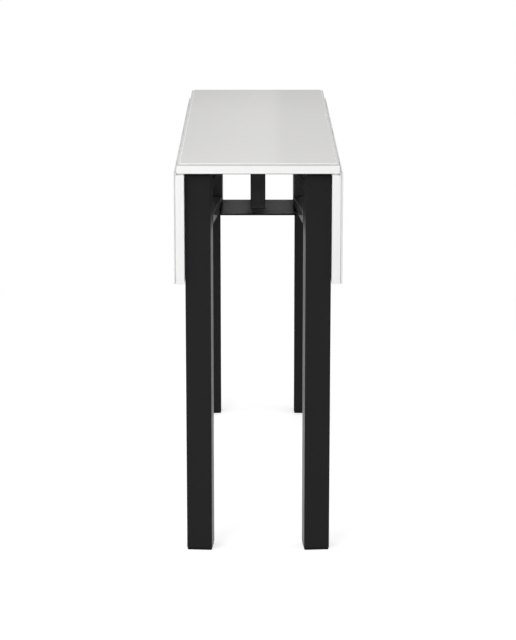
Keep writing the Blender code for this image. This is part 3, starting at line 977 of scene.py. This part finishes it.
for side, sign in (("left", -1), ("right", 1)):
    pane_low, pane_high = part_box(f"leaf_glass_{side}")
    board_low, board_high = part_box(f"leaf_panel_{side}")
    inner = pane_high.x if sign < 0 else pane_low.x
    outer = board_low.x if sign < 0 else board_high.x
    low, high = sorted((sign * inner, sign * outer))
    top = min(pane_high.z, board_high.z)
    centre = (top + pane_low.z) / 2
    outline = box_outline(pane_high.y - FILM_INSET, (top - pane_low.z) / 2 - FILM_INSET)
    skins = [cake(outline, low + SNUG, high - SNUG, FILM_EASE, hanging(sign, centre))]
    add_piece(f"bonding_film_{side}", skins, film, f"{side}_leaf")

# %% Felt on the legs
FELT, FELT_CORNER, FELT_THICK, FELT_EASE = 0.036, 0.003, 0.0010, 0.0002


def on_cap(x, y, turn):
    """Place of a cake on a leg's cap, turned as the leg is"""

    def place(p, q, h):
        across = x + p * cos(turn) - q * sin(turn)
        along = y + p * sin(turn) + q * cos(turn)
        return np.stack([across, along, h], axis=-1)

    return place


for joint in gate_joints:
    body = joint["child"]
    gate = body[: -len("_gate")]
    low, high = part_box(f"leg_cap_{gate}")
    side, end = np.sign(joint["pos_m"][:2])
    place = on_cap((low.x + high.x) / 2, (low.y + high.y) / 2, -side * end * SPLAY)
    outline = rounded_square(FELT, FELT_CORNER, 64)[0]
    top = high.z + SNUG
    pad = cake(outline, top, top + FELT_THICK, FELT_EASE, place)
    add_piece(f"felt_pad_{gate}", [pad], felt, body)

# %% [markdown]
# ## Fillet round the centre glass
#
# The board stands out beyond its glass by almost five millimetres on the long sides and by one at the ends.
# A fillet of grey silicone fills that step and keeps crumbs out, and it draws the thin lines that run round
# the top. On the long sides its section is full, with a steep outer shoulder, and stops below the upper
# arris of the glass; past the corners it drops to a low strip. Its grey is darker along its outer edge.
# The section is carried round a rectangle, so that its width and height can differ from side to side.

# %% Silicone
FILLET_SIDE, FILLET_END = 0.0042, 0.0005
OUTER_GREY_START = 0.0022


def silicone(half_x, half_y):
    """Grey silicone: even, faintly cloudy, wiped smooth, and darker grey along its outer edge"""
    finish = Finish("silicone", {"IOR": 1.42, "Specular IOR Level": 0.4})
    cloud = finish.noise(90.0, 2.0)
    tone = finish.mix(cloud, (0.72, 0.72, 0.71), (0.78, 0.78, 0.77))
    # Darker grey along the fillet's outer edge, on the long sides and past the ends.
    outer_grey = rise(abs(finish.along("X")), half_x + OUTER_GREY_START, half_x + FILLET_SIDE)
    outer_grey = most(outer_grey, rise(abs(finish.along("Y")), half_y, half_y + FILLET_END / 2))
    tone = finish.mix(outer_grey, tone, (0.56, 0.56, 0.55))
    normal = finish.relief(finish.noise(500.0, 2.0), 0.00004, 0.4)
    finish.feed(base_color=tone, roughness=0.34 + 0.12 * cloud, normal=normal)
    return finish.material


print("fillet", 1000 * FILLET_SIDE, "mm wide")

# %% Silicone fillet
FILLET_HIGH, FILLET_LOW, FILLET_RAMP = 0.0027, 0.0012, 0.015
FILLET_POWER = 0.4
OFF_GLASS = 0.00005
UNDER_OUT, UNDER_UP = [0.0001 - ARRIS, -0.00001], [0, 0.45]


def fillet(half_x, half_y, base, steps=60, curve=11):
    """Full section carried round a rectangle: with a from 0 at the glass to a quarter turn on the board,
    it goes out by width sin(a) ** 0.4 and up by height cos(a) ** 0.4, and two points under the lower arris
    close it. Past each corner the height falls from FILLET_HIGH to FILLET_LOW within FILLET_RAMP."""
    turn = np.linspace(0, pi / 2, curve)
    reach, lift = np.sin(turn) ** FILLET_POWER, np.clip(np.cos(turn), 0, 1) ** FILLET_POWER
    side = np.concatenate([UNDER_OUT, OFF_GLASS + (FILLET_SIDE - OFF_GLASS) * reach])
    end = np.concatenate([UNDER_OUT, OFF_GLASS + (FILLET_END - OFF_GLASS) * reach])
    step = np.linspace(0, 1, steps, endpoint=False)[None, :, None]
    path = (SQUARE[:, None] + (np.roll(SQUARE, -1, axis=0) - SQUARE)[:, None] * step).reshape(-1, 2)
    fade = np.clip((1 - np.abs(path[:, :1])) * half_x / FILLET_RAMP, 0, 1)
    height = FILLET_HIGH + (FILLET_LOW - FILLET_HIGH) * fade
    height = height * np.concatenate([UNDER_UP, lift])[None, :]
    across = path[:, :1] * (half_x + side)[None, :]
    along = path[:, 1:] * (half_y + end)[None, :]
    return ring_skin(np.stack([across, along, base + LOOSE + height], axis=-1), looped=True)


pane_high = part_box("centre_glass")[1]
skins = [fillet(pane_high.x, pane_high.y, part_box("centre_panel")[1].z)]
add_piece("glass_fillet", skins, silicone(pane_high.x, pane_high.y), "frame")

# %% [markdown]
# ## Seals in the leaf joints
#
# Between a hanging leaf's glass and the side of the top there is a gap of almost three millimetres, which
# lets the leaf turn. A soft white strip on the inside of the leaf's glass closes it to crumbs. Its section
# is a D: flat where it is glued, round towards the board. It is carried along the table in lengths that
# stop at the hinges, and it turns with the leaf, away from the board.

# %% Soft vinyl
def soft_vinyl():
    """White soft vinyl: faintly yellow, with a fine dull skin"""
    finish = Finish("soft_vinyl", {"IOR": 1.5, "Specular IOR Level": 0.3})
    skin = finish.noise(1500.0, 2.0)
    tone = finish.mix(finish.noise(30.0, 2.0), (0.76, 0.76, 0.74), (0.81, 0.81, 0.795))
    normal = finish.relief(skin, 0.00003, 0.5)
    finish.feed(base_color=tone, roughness=0.50 + 0.15 * skin, normal=normal)
    return finish.material


vinyl = soft_vinyl()
print(vinyl.name)

# %% Soft seal
SEAL_PLAY, SEAL_CLEAR, SEAL_TRIM = 0.00025, 0.0015, 0.0002


def seal_strip(face, reach, low, high, start, stop, steps=40, curve=15):
    """D section carried along Y from start to stop: with a from 0 to half a turn,
    it stands out from the face by reach sin(a) ** 0.5 and climbs from low to high by (1 - cos a) / 2"""
    turn = np.linspace(0, pi, curve)
    stand = np.sign(reach) * LOOSE + reach * np.clip(np.sin(turn), 0, 1) ** 0.5
    climb = low + (high - low) * (1 - np.cos(turn)) / 2
    run = np.linspace(start, stop, steps)[:, None]
    return ring_skin(np.stack(np.broadcast_arrays(face + stand, run, climb), axis=-1))


board_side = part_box("centre_panel")[1].x
for side, sign in (("left", -1), ("right", 1)):
    pane_low, pane_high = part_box(f"leaf_glass_{side}")
    face = pane_high.x if sign < 0 else pane_low.x
    reach = -sign * (abs(face) - board_side - SEAL_PLAY)
    low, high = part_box(f"leaf_panel_{side}")[1].z + SEAL_TRIM, pane_high.z - SEAL_TRIM
    clips = [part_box(name) for name in frame["nodes"] if name.startswith(f"hinge_clip_{side}")]
    clips.sort(key=lambda box: box[0].y)
    starts = [pane_low.y + SEAL_CLEAR] + [box[1].y + SEAL_CLEAR for box in clips]
    stops = [box[0].y - SEAL_CLEAR for box in clips] + [pane_high.y - SEAL_CLEAR]
    skins = [seal_strip(face, reach, low, high, *ends) for ends in zip(starts, stops)]
    add_piece(f"joint_seal_{side}", skins, vinyl, f"{side}_leaf")

# %% [markdown]
# ## Stops at the ends of the joints
#
# A hanging leaf leaves a narrow slot under the board. At both ends of the table a white stop under the board
# closes it. The leaf's edge turns about the hinge axis, so the stop's underside is level as far as the axis
# and then follows a circle about it, a little smaller than the one that the edge keeps clear of.

# %% End stops
STOP_PLAY, STOP_LENGTH, STOP_SET_IN, STOP_TRIM = 0.00012, 0.0030, 0.0006, 0.0004


def end_stop(axis_x, axis_z, outward, top, inner, outer, level, start):
    """Flat section carried along Y: its lower edge goes from inner to the axis at the depth level,
    then round the axis on a circle of that radius until it meets the board's side at outer"""
    swing = np.linspace(0, np.arcsin((outer - axis_x) / level), 12)
    low_x = np.concatenate([[inner], axis_x + level * np.sin(swing)])
    low_z = np.concatenate([[-level], -level * np.cos(swing)]) + axis_z
    section_x = outward * np.concatenate([low_x, [outer, inner]])
    section_z = np.concatenate([low_z, [top, top]])
    run = np.linspace(start, start + STOP_LENGTH, 3)[:, None]
    return ring_skin(np.stack(np.broadcast_arrays(section_x, run, section_z), axis=-1))


joint_places = {joint["child"]: joint["pos_m"] for joint in frame["joints"]}
board_low, board_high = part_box("centre_panel")
top, outer = board_low.z - SNUG, board_high.x - STOP_TRIM
skins = []
for side, sign in (("left", -1), ("right", 1)):
    axis_x, _, axis_z = joint_places[f"{side}_leaf"]
    leaf_low, leaf_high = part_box(f"leaf_panel_{side}")
    inner = min(abs(leaf_low.x), abs(leaf_high.x)) + STOP_TRIM
    level = axis_z - leaf_high.z - STOP_PLAY
    for start in (board_low.y + STOP_SET_IN, board_high.y - STOP_SET_IN - STOP_LENGTH):
        skins.append(end_stop(abs(axis_x), axis_z, sign, top, inner, outer, level, start))
add_piece("joint_end_stops", skins, vinyl, "frame")
